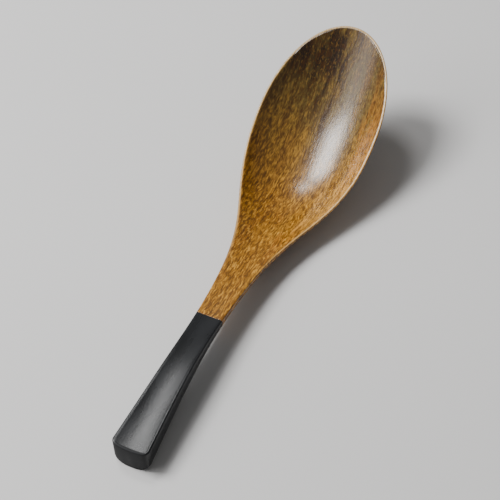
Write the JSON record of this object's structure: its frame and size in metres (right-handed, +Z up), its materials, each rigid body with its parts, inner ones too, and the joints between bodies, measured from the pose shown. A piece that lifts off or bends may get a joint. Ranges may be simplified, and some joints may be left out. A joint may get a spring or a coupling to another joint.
{
  "type": "wooden spoon",
  "caption": "Carved wooden spoon with a deep egg-shaped bowl raised at the tip and a four-sided handle coated in black paint.",
  "frame": {"origin": "on the table under the middle of the spoon's length", "axes": "+Y from the butt of the handle to the tip of the bowl, +Z up from the table, X across the spoon"},
  "size_m": [0.0486, 0.19, 0.041],
  "materials": {
    "spoon_wood": "clear satin coat over carved wood",
    "black_paint": "satin black paint"
  },
  "bodies": {
    "root": {"spoon_body": "spoon_wood", "handle_paint": "black_paint"}
  },
  "joints": []
}
